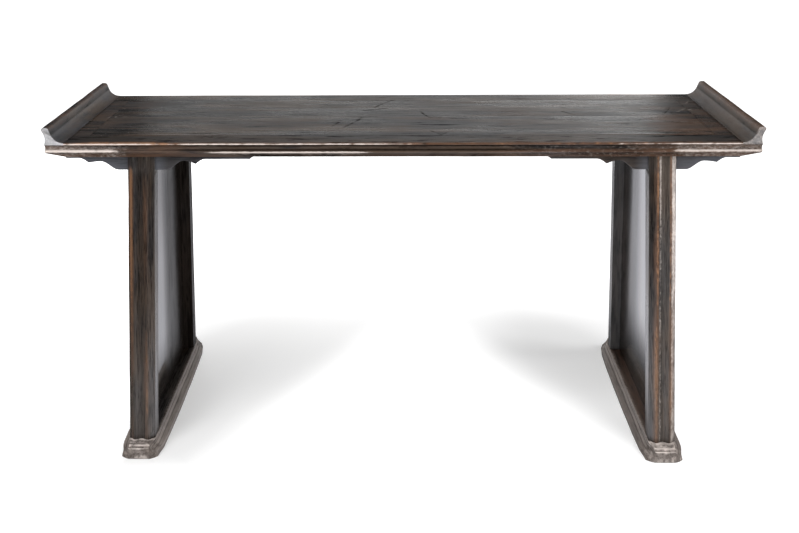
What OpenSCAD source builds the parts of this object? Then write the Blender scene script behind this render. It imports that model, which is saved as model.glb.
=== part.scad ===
// Painting table with everted end flanges. Two end frames of splayed, double-roll legs
// hold a solid side panel each and stand on front-to-back shoe feet.
// X runs along the table, the front is towards -Y, and Z = 0 is the floor.

/* [Top] */
// Overall length, from the ridge of one end flange to the other
top_l = 1805; // [1500:5:2100]
// Depth of the top, front to back
top_d = 606; // [520:2:680]
// Height of the top surface above the floor
top_h = 848; // [800:2:880]
// Thickness of the frame round the top, at its moulded edge
rail_t = 36.5; // [33:0.5:40]
// Width of each long rail
rail_w = 85; // [76:1:100]
// Width of each end rail
end_rail_w = 95; // [90:1:120]
// Thickness of the panel boards
board_t = 14; // [12:1:17]
// Thickness of the tongue round the panel boards
tongue_t = 6; // [4:0.5:8]
// Reach of the tongue into the rails
tongue_l = 8; // [5:1:12]
// Space left behind the tongue for the panel to swell
swell_gap = 0.5; // [0.2:0.1:0.9]

/* [Edge moulding] */
// Height of the bead along the top arris
upper_bead = 6.5; // [5:0.5:8]
// Height of the cove between the beads
cove_h = 12; // [8:0.5:13]
// Depth of the cove behind the beads' centres
cove_d = 3.5; // [2:0.5:6]
// Height of the lower bead
lower_bead = 8.5; // [6:0.5:9]
// Set-back of the plain fillet under the lower bead
fillet_set = 5; // [3:0.5:8]
// Rise of the underside from the flange's toe to the end face
end_rise = 8.5; // [5:0.5:11]
// Radius of the lower corner at the end face
end_corner_r = 8; // [4:0.5:10]

/* [End flanges] */
// Height of the flange ridge above the top surface
flange_h = 39; // [34:1:50]
// Width of the ridge
ridge_w = 21; // [16:1:28]
// Radius of the ridge's outer arris
ridge_r = 5; // [3:0.5:7]
// Radius of the ridge's inner shoulder
ridge_shoulder_r = 7; // [4:0.5:9]
// Radius of the cove that sweeps from the top surface up to the ridge
flange_cove_r = 33; // [28:1:36]
// Lean of the flange's inner face from upright, in degrees
flange_lean = 20; // [10:1:28]
// Overhang of the ridge beyond the end face
ridge_overhang = 5; // [2:0.5:9]
// Hollow of the flange's outer face
waist_d = 5; // [1:0.5:6]
// Depth of the housing that the flange sits in
flange_seat = 5; // [3:0.5:6]
// Width of the tongue under the flange
flange_tongue_w = 10; // [6:1:14]
// Depth of the tongue under the flange
flange_tongue_l = 7; // [5:1:9]

/* [Aprons] */
// Thickness of the apron boards
apron_t = 14; // [10:1:16]
// Apron face behind the leg's side edges
apron_set = 5; // [2:0.5:8]
// Depth of the apron at the legs
apron_leg_h = 46; // [42:1:56]
// Depth of the strip outside the legs
outer_strip_h = 14.5; // [12:0.5:17]
// Depth of the strip inside the legs
inner_strip_h = 18; // [15:0.5:20]
// Depth of the plain middle
middle_h = 12; // [8:0.5:14]
// Half the length of the plain middle
middle_x = 376; // [300:4:420]
// Depth of the tips of the cusps inside the legs
cusp_h = 31; // [26:0.5:34]
// Depth of the tips of the cusps outside the legs
outer_cusp_h = 27; // [25:0.5:30]
// Depth at the crown of the small arch between a cusp and the leg
arch_h = 22; // [20:0.5:24.5]
// Distance from the leg to the cusp's tip
cusp_run = 104; // [90:1:120]
// Distance from the leg to the crown of the small arch
arch_run = 72; // [60:1:80]
// Flat stretch beside the leg, before the outline rises
shoulder_run = 27; // [15:1:35]
// End of the apron from the end of the table
apron_end_in = 43; // [34:1:60]

/* [Legs] */
// Width of a leg, seen from the front
leg_w = 69; // [62:1:78]
// Depth of a leg, from the rolls to its back face
leg_d = 58; // [54:1:66]
// Half the distance between the crests of the two rolls
roll_offset = 17; // [14:0.5:20]
// Depth of the hollow between the rolls
hollow_d = 7; // [3:0.5:9]
// Set-back of the side edges behind the rolls
edge_set = 15; // [10:0.5:17]
// Width of the small arris strip along each side edge
arris_w = 2.5; // [1:0.5:4]
// Leg's outer face from the end of the table, at the head
end_overhang = 205; // [170:1:240]
// Leg's rolls behind the front edge of the top, at the head
front_set = 30; // [24:1:40]
// Outward lean of each foot, seen from the front
side_splay = 33; // [15:1:45]
// Forward lean of each foot, seen from the end
front_splay = 59; // [40:1:75]
// Length of the tenons on the leg's head
head_tenon_l = 18; // [12:1:22]
// Length of the tenon on the leg's foot
foot_tenon_l = 22; // [16:1:26]

/* [End frames] */
// Thickness of the side panels
panel_t = 12; // [8:1:16]
// Depth of the grooves that hold the side panels
panel_groove = 8; // [5:1:10]
// Height of the upper side rails
side_rail_h = 38; // [30:1:50]
// Thickness of the upper side rails
side_rail_t = 30; // [24:1:40]
// Thickness of the side rails' tenons
side_tenon_t = 10; // [8:1:14]
// Length of the side rails' tenons
side_tenon_l = 18; // [12:1:20]

/* [Shoe feet] */
// Height of a shoe foot
shoe_h = 35; // [32:1:42]
// Width of the flat top
shoe_top_w = 74; // [70:1:86]
// Width at the floor, at the middle of its length
shoe_base_w = 118; // [104:1:124]
// How far each side draws in from the middle to the toes
shoe_bulge = 5.5; // [0:0.5:7]
// Reach of the toe beyond the leg
toe_l = 44; // [34:1:60]
// Step at the front of the flat top
toe_step = 4; // [2:0.5:6]
// Length of the hollow in front of the step
toe_hollow_l = 11; // [7:1:14]
// Rounding of the toe in plan
nose_round = 18; // [8:1:26]

/* [Braces and pegs] */
// Width of the braces under the panel
brace_w = 46; // [36:1:60]
// Depth of the braces
brace_h = 20; // [14:1:20]
// Depth of the dovetail keys on the braces
key_h = 5; // [3:0.5:6]
// Flare of the dovetail keys on each side
key_flare = 3; // [1:0.5:4]
// Length of the tenons on the braces
brace_tenon_l = 20; // [12:1:30]
// Distance between neighbouring braces
brace_spacing = 360; // [300:5:380]
// Length of the end rails' tenons
rail_tenon_l = 45; // [35:1:60]
// Side of the square pegs
peg_s = 8; // [5:0.5:10]

/* [Hidden] */

lacquer = "#241c19";
worn_lacquer = "#33261f";
bare_wood = "#5a3d2b";

// Shoulders and set-backs of the joints, the same on a table of any size
end_tenon_in = 16;
end_tenon_out = 8;
end_tenon_low = 6;
end_tenon_t = 11;
flange_tongue_stop = 12;
brace_shoulder_low = 3;
brace_shoulder_high = 6;
head_shoulder = 3;
head_tenon_back_t = 11;
head_tenon_front_t = 8;
head_tenon_front_gap = 4;
foot_shoulder = 7;
foot_back_gap = 4;
side_tenon_shoulder = 8;
side_rail_gap = 1;
peg_l = 22;

// How far tenons, keys and cuts run past the face that they start from, so that none just touches it
bite = 1;

// Small steps of the outlines
relief_in = 4;
middle_step = 8;
cusp_flank = 25;
outer_arch_drop = 1.5;
toe_slope = 4;
toe_round = 2;
toe_dip = 2;
shoe_lip = 1.5;
shoe_lip_drop = 1;
shoe_edge_r = 3;
shoe_upright = 11;
shoe_chamfer = 2;
toe_upright = 5;

// Planes of the top
rail_z = top_h - rail_t;
end_x = top_l / 2 - ridge_overhang;
edge_y = top_d / 2;
panel_x = end_x - end_rail_w;
panel_y = edge_y - rail_w;
board_z = top_h - board_t;
tongue_top = top_h - (board_t - tongue_t) / 2;
groove_l = tongue_l + swell_gap;
toe_x = top_l / 2 - ridge_w - flange_cove_r;
relief_x = toe_x - relief_in;
seat_z = top_h - flange_seat;
brace_x = brace_spacing / 2;

// Planes of the end frames
leg_h = rail_z - shoe_h;
head_x = top_l / 2 - end_overhang - leg_w / 2;
head_y = edge_y - front_set;
foot_x = head_x + side_splay;
foot_y = head_y + front_splay;
side_angle = atan(side_splay / leg_h);
front_angle = atan(front_splay * cos(side_angle) / leg_h);
apron_y = head_y - edge_set - apron_set;
apron_x = top_l / 2 - apron_end_in;
leg_out_x = head_x + leg_w / 2;
leg_in_x = head_x - leg_w / 2;
shoe_y = foot_y + toe_l;
foot_tenon_d = leg_d - panel_groove - edge_set - foot_shoulder - foot_back_gap;
reach = 2 * top_l;

function arc(cx, cy, r, a0, a1, steps) =
    [for (i = [0:steps]) let (a = a0 + (a1 - a0) * i / steps) [cx + r * cos(a), cy + r * sin(a)]];

function mix(a, b, t) = a + (b - a) * t;

function mirrored(points) = [for (i = [len(points) - 1:-1:0]) [-points[i][0], points[i][1]]];

// Turns an outline drawn in Y and Z into a bar along X, centred on X = 0
module along_x(length) {
    translate([-length / 2, 0, 0]) rotate([90, 0, 90]) linear_extrude(length) children();
}

// Turns an outline drawn in X and Z into a bar along Y, centred on Y = 0
module along_y(length) {
    translate([0, length / 2, 0]) rotate([90, 0, 0]) linear_extrude(length) children();
}

// A block given by its lowest and highest corners
module block(low, high) {
    translate(low) cube(high - low);
}

// Draws its children on the left, at side = -1, or on the right, at side = 1
module on_side(side) {
    if (side > 0) children();
    else mirror([1, 0, 0]) children();
}

// Draws its children at the front, at face = -1, or at the back, at face = 1
module on_face(face) {
    if (face < 0) children();
    else mirror([0, 1, 0]) children();
}

// Section of a long rail, with the moulding towards -Y
function rail_outline() =
    let (r1 = upper_bead / 2, r2 = lower_bead / 2,
         y1 = r1 - edge_y, y2 = r2 - edge_y,
         z1 = top_h - upper_bead, z2 = z1 - cove_h)
    concat([[-panel_y, rail_z], [-panel_y, top_h]],
           arc(y1, top_h - r1, r1, 90, 270, 8),
           [for (i = [1:7]) [mix(y1, y2, i / 8) + cove_d * sin(180 * i / 8), mix(z1, z2, i / 8)]],
           arc(y2, z2 - r2, r2, 90, 270, 8),
           [[fillet_set - edge_y, z2 - lower_bead], [fillet_set - edge_y, rail_z]]);

// Height of the top's underside towards the ends, where it rises
function underside(x) =
    rail_z + end_rise * max(0, x - relief_x) / (end_x - end_corner_r - relief_x);

// The top seen from the front, with its rising ends
module end_trim() {
    x = end_x - end_corner_r;
    half = concat([[relief_x, rail_z]],
                  arc(x, underside(x) + end_corner_r, end_corner_r, -90, 0, 6),
                  [[end_x, top_h]]);
    along_y(reach) polygon(concat(half, mirrored(half)));
}

module board_groove() {
    x = panel_x + groove_l;
    y = panel_y + groove_l;
    block([-x, -y, tongue_top - tongue_t], [x, y, tongue_top]);
}

module flange_housing(side) {
    on_side(side) block([toe_x, -reach, seat_z], [reach, reach, reach]);
}

module end_tenons(side) {
    y = panel_y + rail_tenon_l;
    z = rail_z + end_tenon_low;
    on_side(side) block([panel_x + end_tenon_in, -y, z], [relief_x + end_tenon_out, y, z + end_tenon_t]);
}

module flange_tongue() {
    x = (toe_x + end_x) / 2 - flange_tongue_w / 2;
    y = panel_y - flange_tongue_stop;
    block([x, -y, seat_z - flange_tongue_l], [x + flange_tongue_w, y, seat_z + bite]);
}

module long_rail(face) {
    color(worn_lacquer) on_face(face) difference() {
        intersection() {
            along_x(2 * end_x) polygon(rail_outline());
            end_trim();
        }
        board_groove();
        for (side = [-1, 1]) {
            flange_housing(side);
            end_tenons(side);
            on_side(side) head_tenons();
            on_side(side) pegs_of_corner(bite);
        }
        for (x = [-3, -1, 1, 3]) brace_tenons(x * brace_x);
    }
}

module end_rail(side) {
    color(lacquer) difference() {
        union() {
            intersection() {
                on_side(side) block([panel_x, -panel_y, rail_z], [end_x, panel_y, top_h]);
                end_trim();
            }
            end_tenons(side);
        }
        board_groove();
        flange_housing(side);
        on_side(side) flange_tongue();
        on_side(side) pegs_of_corner(bite);
    }
}

// Section of a flange: cove and leaning face on the inside, rounded ridge, hollow outer face
function flange_outline() =
    let (ridge_z = top_h + flange_h,
         cove_top_z = top_h + flange_cove_r * (1 - sin(flange_lean)),
         lean_top_z = ridge_z - ridge_shoulder_r * (1 - sin(flange_lean)),
         shoulder_x = toe_x + (flange_cove_r + ridge_shoulder_r) * cos(flange_lean)
                      + (lean_top_z - cove_top_z) * tan(flange_lean),
         tip_x = top_l / 2 - ridge_r,
         tip = [tip_x + ridge_r * cos(-15), ridge_z - ridge_r + ridge_r * sin(-15)])
    concat([[toe_x, seat_z]],
           arc(toe_x, top_h + flange_cove_r, flange_cove_r, -90, -flange_lean, 10),
           arc(shoulder_x, ridge_z - ridge_shoulder_r, ridge_shoulder_r, 180 - flange_lean, 90, 5),
           arc(tip_x, ridge_z - ridge_r, ridge_r, 90, -15, 7),
           [for (i = [1:7]) [mix(tip[0], end_x, i / 8) - waist_d * sin(180 * i / 8),
                             mix(tip[1], seat_z, i / 8)]],
           [[end_x, seat_z]]);

module flange(side) {
    color(lacquer) on_side(side) {
        along_y(top_d) polygon(flange_outline());
        flange_tongue();
    }
}

// One board of the panel; they meet in a tongue and groove at the middle
module panel_board(face) {
    x = panel_x + tongue_l;
    y = panel_y + tongue_l;
    z = tongue_top - tongue_t;
    color(lacquer) on_face(face) difference() {
        union() {
            block([-panel_x, -panel_y, board_z], [panel_x, 0, top_h]);
            block([-x, -y, z], [x, face < 0 ? tongue_l : 0, tongue_top]);
        }
        if (face > 0) block([-reach, -tongue_l, z], [reach, reach, tongue_top]);
        for (n = [-3, -1, 1, 3]) translate([n * brace_x, 0, 0]) dovetail_key();
    }
}

module dovetail_key() {
    foot = brace_w / 4;
    head = foot + key_flare;
    low = board_z - bite;
    high = board_z + key_h;
    along_y(2 * panel_y)
        polygon([[-foot, low], [foot, low], [foot, board_z], [head, high], [-head, high], [-foot, board_z]]);
}

module brace_tenons(x) {
    half = brace_w / 3;
    y = panel_y + brace_tenon_l;
    block([x - half, -y, board_z - brace_h + brace_shoulder_low],
          [x + half, y, board_z - brace_shoulder_high]);
}

module brace(x) {
    color(bare_wood) {
        block([x - brace_w / 2, -panel_y, board_z - brace_h], [x + brace_w / 2, panel_y, board_z]);
        translate([x, 0, 0]) dovetail_key();
        brace_tenons(x);
    }
}

// Lower edge of the apron from the middle outwards, as distance and depth under the rail
function apron_edge() =
    let (out = leg_out_x, in = leg_in_x, outer_arch_h = arch_h + outer_arch_drop, n = 8)
    concat([[middle_x, middle_h], [middle_x + middle_step, inner_strip_h]],
           [for (i = [0:n]) [in - cusp_run + cusp_flank * (i / n - 1),
                             mix(inner_strip_h, cusp_h, 1 - cos(90 * i / n))]],
           [for (i = [1:n]) [mix(in - cusp_run, in - arch_run, i / n), mix(cusp_h, arch_h, sin(90 * i / n))]],
           [for (i = [1:n]) [mix(in - arch_run, in - shoulder_run, i / n),
                             mix(arch_h, apron_leg_h, (1 - cos(180 * i / n)) / 2)]],
           [for (i = [0:n]) [mix(out + shoulder_run, out + arch_run, i / n),
                             mix(apron_leg_h, outer_arch_h, (1 - cos(180 * i / n)) / 2)]],
           [for (i = [1:n]) [mix(out + arch_run, out + cusp_run, i / n),
                             mix(outer_arch_h, outer_cusp_h, 1 - cos(90 * i / n))]],
           [for (i = [1:n]) [out + cusp_run + cusp_flank * i / n,
                             mix(outer_cusp_h, outer_strip_h, sin(90 * i / n))]],
           [[apron_x, outer_strip_h]]);

module long_apron(face) {
    lower = [for (p = apron_edge()) [p[0], rail_z - p[1]]];
    half = concat(lower, [[apron_x, underside(apron_x)], [relief_x, rail_z]]);
    color(lacquer) on_face(face) translate([0, apron_t / 2 - apron_y, 0])
        along_y(apron_t) polygon(concat(half, mirrored(half)));
}

module end_apron(side) {
    x = apron_x - apron_t;
    z = rail_z - outer_strip_h;
    points = [[x, z], [apron_x, z], [apron_x, underside(apron_x)],
              [max(x, relief_x), underside(max(x, relief_x))], [x, underside(x)]];
    color(lacquer) on_side(side) along_y(2 * (apron_y - apron_t)) polygon(points);
}

// Turns children drawn about an upright end frame into the leaning frame on the right
module frame_lean() {
    translate([head_x, 0, rail_z]) rotate([0, -side_angle, 0]) children();
}

// Places children drawn with the leg's rolls at Y = 0 into the splayed front leg
module leg_lean() {
    frame_lean() translate([0, -head_y, 0]) rotate([-front_angle, 0, 0]) children();
}

// Section of a leg: two rolls with a hollow between them, and a small arris along each side
function leg_outline() =
    let (half = leg_w / 2, slope = half - arris_w)
    concat([[-half, leg_d], [-half, edge_set + arris_w]],
           [for (u = [-slope:slope / 16:slope + 0.01]) [u,
               abs(u) < roll_offset ? hollow_d * (1 + cos(180 * u / roll_offset)) / 2
                               : edge_set * (1 - cos(90 * (abs(u) - roll_offset) / (slope - roll_offset)))]],
           [[half, edge_set + arris_w], [half, leg_d]]);

// The pair of tenons on a leg's head, one on each side of the apron's slot
module head_tenons() {
    x = leg_w / 4;
    z = rail_z + head_tenon_l;
    back = apron_t - apron_y + head_shoulder;
    front = -apron_y - head_tenon_front_gap;
    block([head_x - x, back, rail_z - bite], [head_x + x, back + head_tenon_back_t, z]);
    block([head_x - x, front - head_tenon_front_t, rail_z - bite], [head_x + x, front, z]);
}

module foot_tenon() {
    y = edge_set + foot_shoulder - foot_y;
    half = leg_w / 5;
    block([foot_x - half, y, shoe_h - foot_tenon_l], [foot_x + half, y + foot_tenon_d, shoe_h + bite]);
}

module side_rail_tenons() {
    intersection() {
        frame_lean() block([-side_tenon_t / 2, -reach, side_tenon_shoulder - side_rail_h],
                           [side_tenon_t / 2, reach, -side_tenon_shoulder]);
        for_both_legs(leg_d - side_tenon_l);
    }
}

// The space between the legs, from a depth into each of them
module for_both_legs(depth) {
    intersection() {
        leg_lean() block([-reach, depth, -reach], [reach, reach, reach]);
        mirror([0, 1, 0]) leg_lean() block([-reach, depth, -reach], [reach, reach, reach]);
    }
}

module leg(side, face) {
    color(worn_lacquer) on_side(side) on_face(face) {
        difference() {
            intersection() {
                leg_lean() translate([0, 0, -reach / 2]) linear_extrude(reach) polygon(leg_outline());
                block([0, -reach, shoe_h], [reach, 0, rail_z]);
            }
            block([0, -apron_y, rail_z - apron_leg_h], [reach, apron_t - apron_y, reach]);
            side_rail_tenons();
            side_panel_solid();
        }
        head_tenons();
        foot_tenon();
    }
}

module side_panel_solid() {
    intersection() {
        frame_lean() block([-panel_t / 2, -reach, -reach], [panel_t / 2, reach, panel_groove - side_rail_h]);
        for_both_legs(leg_d - panel_groove);
        block([0, -reach, shoe_h - panel_groove], [reach, reach, reach]);
    }
}

module side_panel(side) {
    color(lacquer) on_side(side) side_panel_solid();
}

module side_rail(side) {
    color(lacquer) on_side(side) difference() {
        union() {
            intersection() {
                frame_lean() block([-side_rail_t / 2, -reach, -side_rail_h],
                                   [side_rail_t / 2, reach, -side_rail_gap]);
                for_both_legs(leg_d);
            }
            side_rail_tenons();
        }
        side_panel_solid();
    }
}

// Half of the shoe seen from its end: flat top, cove, and an upright foot
function shoe_section() =
    let (top = shoe_top_w / 2, base = shoe_base_w / 2,
         neck = [top - shoe_lip, shoe_h - toe_step - shoe_lip_drop],
         shoulder = [base - shoe_edge_r, shoe_upright + shoe_edge_r])
    concat([[top, shoe_h], [top, shoe_h - toe_step], neck],
           [for (i = [1:7]) [mix(neck[0], shoulder[0], 1 - cos(90 * i / 7)),
                             mix(neck[1], shoulder[1], sin(90 * i / 7))]],
           arc(shoulder[0], shoe_upright, shoe_edge_r, 90, 0, 4),
           [[base, shoe_chamfer], [base - shoe_chamfer, 0]]);

// Half of the shoe seen from its side: step, hollow and rounded nose at the toe
function shoe_side() =
    let (lip = shoe_y - toe_slope, step = lip - toe_hollow_l, low = shoe_h - toe_step)
    concat([[step, shoe_h], [step, low]],
           [for (i = [1:5]) [mix(step, lip, i / 6), low - toe_dip * sin(180 * i / 6)]],
           [[lip, low], [shoe_y - toe_round, low - shoe_edge_r], [shoe_y, low / 2],
            [shoe_y, toe_upright], [shoe_y - shoe_edge_r, 0]]);

// The shoe seen from above, from its middle to the toe: sides that draw in a little, and a rounded nose
function shoe_plan() =
    let (nose = shoe_base_w / 2 - shoe_bulge, straight = shoe_y - nose_round, n = 6,
         side = [for (i = [1:n]) [nose + shoe_bulge * (1 - pow(i / n, 2)), straight * i / n]])
    concat([for (p = side) [-p[0], p[1]]],
           [for (i = [-9:9]) [nose * i / 10, shoe_y - nose_round * pow(abs(i) / 10, 3)]],
           [for (i = [n - 1:-1:0]) side[i]]);

module shoe(side) {
    color(worn_lacquer) on_side(side) difference() {
        translate([foot_x, 0, 0]) intersection() {
            along_y(reach) polygon(concat(shoe_section(), mirrored(shoe_section())));
            along_x(reach) polygon(concat(shoe_side(), mirrored(shoe_side())));
            linear_extrude(shoe_h) polygon(concat(shoe_plan(), [for (p = mirrored(shoe_plan())) -p]));
        }
        foot_tenon();
        mirror([0, 1, 0]) foot_tenon();
        side_panel_solid();
    }
}

// The two square pegs that pin an end rail's tenons, driven from below, or their holes
module pegs_of_corner(past) {
    x = (panel_x + relief_x - peg_s) / 2;
    y = -panel_y - (rail_tenon_l + peg_s) / 2;
    for (face = [-1, 1]) on_face(face) block([x, y, rail_z - past], [x + peg_s, y + peg_s, rail_z + peg_l]);
}

module corner_pegs() {
    color(bare_wood) for (side = [-1, 1]) on_side(side) pegs_of_corner(0);
}

long_rail(-1);  // front_rail
long_rail(1);  // back_rail
end_rail(-1);  // left_end_rail
end_rail(1);  // right_end_rail
flange(-1);  // left_flange
flange(1);  // right_flange
panel_board(-1);  // front_board
panel_board(1);  // back_board
brace(-3 * brace_x);  // outer_left_brace
brace(-brace_x);  // inner_left_brace
brace(brace_x);  // inner_right_brace
brace(3 * brace_x);  // outer_right_brace
long_apron(-1);  // front_apron
long_apron(1);  // back_apron
end_apron(-1);  // left_end_apron
end_apron(1);  // right_end_apron
leg(-1, -1);  // front_left_leg
leg(1, -1);  // front_right_leg
leg(-1, 1);  // back_left_leg
leg(1, 1);  // back_right_leg
side_panel(-1);  // left_side_panel
side_panel(1);  // right_side_panel
side_rail(-1);  // left_side_rail
side_rail(1);  // right_side_rail
shoe(-1);  // left_shoe
shoe(1);  // right_shoe
corner_pegs();
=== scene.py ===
"""Painting table with everted end flanges: worn black lacquer over brown wood, in soft studio light."""

import math

import bmesh
import bpy
from bpy.props import FloatProperty, FloatVectorProperty, PointerProperty
from mathutils import Matrix, Vector, noise


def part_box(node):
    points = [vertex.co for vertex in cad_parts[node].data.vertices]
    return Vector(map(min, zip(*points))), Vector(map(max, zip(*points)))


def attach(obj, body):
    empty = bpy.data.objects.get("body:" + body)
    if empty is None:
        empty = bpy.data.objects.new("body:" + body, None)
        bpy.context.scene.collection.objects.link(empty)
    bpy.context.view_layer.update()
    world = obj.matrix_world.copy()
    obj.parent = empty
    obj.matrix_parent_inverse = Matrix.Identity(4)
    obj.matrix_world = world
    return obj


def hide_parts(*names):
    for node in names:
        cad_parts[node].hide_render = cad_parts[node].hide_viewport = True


bl_info = {
    "name": "Painting table",
    "version": (1, 0, 0),
    "blender": (4, 5, 0),
    "location": "3D View > Sidebar > Table",
    "description": "Gives the frame of a painting table its worn lacquer, hand-cut surfaces and studio light",
    "category": "Add Mesh",
}

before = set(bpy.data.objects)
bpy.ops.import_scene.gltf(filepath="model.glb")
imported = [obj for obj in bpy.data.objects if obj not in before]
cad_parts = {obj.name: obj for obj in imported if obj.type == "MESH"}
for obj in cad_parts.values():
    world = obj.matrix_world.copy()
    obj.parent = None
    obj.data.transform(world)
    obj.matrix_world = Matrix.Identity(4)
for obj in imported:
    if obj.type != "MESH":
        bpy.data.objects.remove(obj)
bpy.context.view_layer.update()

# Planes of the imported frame, and the width of the flanges' ridges
TOP_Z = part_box("front_board")[1].z
RAIL_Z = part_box("front_rail")[0].z
SHOE_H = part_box("left_shoe")[1].z
EDGE_Y = -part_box("front_rail")[0].y
PANEL_Y = abs(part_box("front_rail")[1].y)
END_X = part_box("front_rail")[1].x
RIDGE_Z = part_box("left_flange")[1].z
RIDGE_W = 0.0195
CREASE_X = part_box("right_flange")[1].x - RIDGE_W

# An end of a range that reaches past the whole table
FAR = 1.0

# How far behind a surface, an end or the top a point may lie and still count as on it
SKIN = 0.001
END_SKIN = 0.002
TOP_SKIN = 0.003

# How near the corners of a face lie to its plane
ON_PLANE = 1e-4

# The moulded edge's upper bead, cove and fillet, as depths below the top
UPPER_BEAD = 0.0028
COVE_TOP, COVE_FOOT = 0.006, 0.0195
FILLET = 0.0275

# Dark and pale cracks in the top, as lines of places measured from its middle
CRACKS = (
    ((-0.073, 0.119), (-0.052, 0.171), (-0.026, 0.216), (0.003, 0.226)),
    ((-0.1, 0.078), (-0.04, 0.11)),
    ((-0.15, -0.13), (-0.117, -0.054), (-0.105, -0.006)),
    ((-0.18, -0.114), (-0.159, -0.053)),
    ((0.057, 0.067), (0.067, 0.025), (0.08, -0.011), (0.11, -0.016)),
    ((0.08, -0.17), (0.105, -0.213), (0.119, -0.196)),
    ((0.731, 0.04), (0.759, 0.107)),
    ((0.45, 0.062), (0.48, 0.02)),
)
PALE_CRACKS = (
    ((0.854, 0.265), (0.834, 0.206), (0.817, 0.163), (0.803, 0.16)),
    ((0.735, 0.028), (0.765, 0.05), (0.8, 0.1)),
    ((0.735, -0.064), (0.785, -0.066)),
    ((0.742, 0.186), (0.79, 0.202)),
    ((-0.79, 0.004), (-0.735, 0.002)),
)

# Half a crack's width, and how far beside one the surface is cut finely
CRACK_W = 0.0018
CRACK_REACH = 0.014

# Where the front legs' faces are cut lengthwise, measured outwards from their middles
COLUMNS = [-0.0185 + 0.0025 * i for i in range(21)]

# How deep the legs' moulded faces and their arrises reach
FACE_DEPTH = 0.022
ARRIS_DEPTH = 0.03

# Heights of the grooves along the shoe feet, half their width, and the toes' length, step and narrow tip
GROOVES = (0.0285, 0.0225, 0.0165)
GROOVE_W = 0.0007
TOE_L = 0.047
TOE_STEP = 0.015
TOE_TIP = 0.018

# Depth of the open grain, and what the lacquer's shine is tinted with where it is sound and has browned
GRAIN_DEPTH = 0.001
COOL_SHINE = (0.9, 0.95, 1.0, 1)
WARM_SHINE = (1.0, 0.84, 0.72, 1)

# The studio's paper, and the world's strength in soft light and in gloss
FLOOR_HALF = 20
BACKDROP_HALF = 1.24
BACKDROP_RIM = 0.2
BACKDROP_SOFT = 0.1
BACKDROP_Y = 2.6
WORLD_SOFT = 0.3
WORLD_GLOSS = 0.1

# Width of the camera's frame in mm
SENSOR_W = 36

# How a copy of a frame mesh is cleaned, shaded and cut
WELD = 2e-5
FLAT = math.radians(0.3)
SMOOTH = math.radians(40)
SHARP = math.radians(50)
CUT_NEAR = 1e-6


def merged_copy(node):
    """A node's mesh as clean flat faces, ready to be worked on."""
    bm = bmesh.new()
    bm.from_mesh(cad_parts[node].data)
    bmesh.ops.remove_doubles(bm, verts=bm.verts, dist=WELD)
    bmesh.ops.dissolve_limit(bm, angle_limit=FLAT, verts=bm.verts, edges=bm.edges)
    return bm


def soften(bm, width, chosen):
    """Rounds the arrises that chosen(edge) picks, as hands and dusters do."""
    edges = [e for e in bm.edges if len(e.link_faces) == 2 and chosen(e)]
    bmesh.ops.bevel(
        bm, geom=edges, offset=width, offset_type="OFFSET", segments=2,
        profile=0.5, affect="EDGES", material=-1, clamp_overlap=True,
    )


def sharp(edge):
    """True for an edge where two faces meet sharply."""
    return edge.calc_face_angle(0) > SHARP


def cut_along(bm, place, across):
    """Cuts a mesh along the plane through a place, square to a direction."""
    bmesh.ops.bisect_plane(
        bm, geom=bm.verts[:] + bm.edges[:] + bm.faces[:], dist=CUT_NEAR, plane_co=place, plane_no=across,
    )


def cut_lengths(bm, axis, pitch, low=None, high=None):
    """Cuts a mesh across an axis into even lengths, so that its faces can be moved a little."""
    ends = [v.co[axis] for v in bm.verts]
    low = min(ends) if low is None else low
    high = max(ends) if high is None else high
    count = round((high - low) / pitch)
    direction = Vector((0, 0, 0))
    direction[axis] = 1
    for i in range(1, count):
        cut_along(bm, direction * (low + (high - low) * i / count), direction)


def waver(bm, amount, pitches, seed):
    """Moves the surface in and out by up to about amount, in waves of about the pitch along each axis."""
    bm.normal_update()
    shift = Vector((seed * 7.3, seed * 3.1, seed * 5.7))
    moves = []
    for v in bm.verts:
        at = Vector([v.co[a] / pitches[a] for a in (0, 1, 2)]) + shift
        moves.append(v.normal * (amount * noise.fractal(at, 0.9, 2.1, 3)))
    for v, move in zip(bm.verts, moves):
        v.co += move


def mottle(x, y, z):
    """Noise around 0 at a place."""
    return noise.noise(Vector((x, y, z)))


def limited(value):
    """The value, kept between 0 and 1."""
    return max(0.0, min(1.0, value))


def peak(value, centre, width):
    """1 at the centre, falling smoothly to 0 about two widths away."""
    return math.exp(-(((value - centre) / width) ** 2))


def between(value, low, high, soft):
    """1 from low to high, falling smoothly to 0 over soft on either side."""
    rise = limited((value - low) / soft + 1)
    fall = limited((high - value) / soft + 1)
    return rise * rise * (3 - 2 * rise) * fall * fall * (3 - 2 * fall)


def from_line(p, line):
    """How far a point of the top lies from a crack's line."""
    nearest = 1.0
    for (x1, y1), (x2, y2) in zip(line, line[1:]):
        along = Vector((x2 - x1, y2 - y1))
        share = limited(Vector((p.x - x1, p.y - y1)).dot(along) / along.length_squared)
        nearest = min(nearest, (Vector((p.x - x1, p.y - y1)) - along * share).length)
    return nearest


def crack_share(p, line):
    """Up to 1 on a crack's uneven line, falling to 0 beside it."""
    drift = 0.003 * mottle(p.x * 60, p.y * 60, 5.0)
    strength = 0.75 + 0.5 * mottle(p.x * 25, p.y * 25, 9.0)
    return limited(strength) * peak(from_line(p, line) + drift, 0.0, CRACK_W)


def refine(bm, cuts, chosen):
    """Cuts the faces whose middles chosen(point) picks into smaller ones."""
    edges = {e for f in bm.faces if chosen(f.calc_center_median()) for e in f.edges}
    bmesh.ops.subdivide_edges(bm, edges=list(edges), cuts=cuts, use_grid_fill=True)


def mark(bm, **rules):
    """Stores rule(point) at each vertex under each rule's name, for the finish to read."""
    for name, rule in rules.items():
        layer = bm.verts.layers.float.new(name)
        for v in bm.verts:
            v[layer] = limited(rule(v.co))


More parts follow.
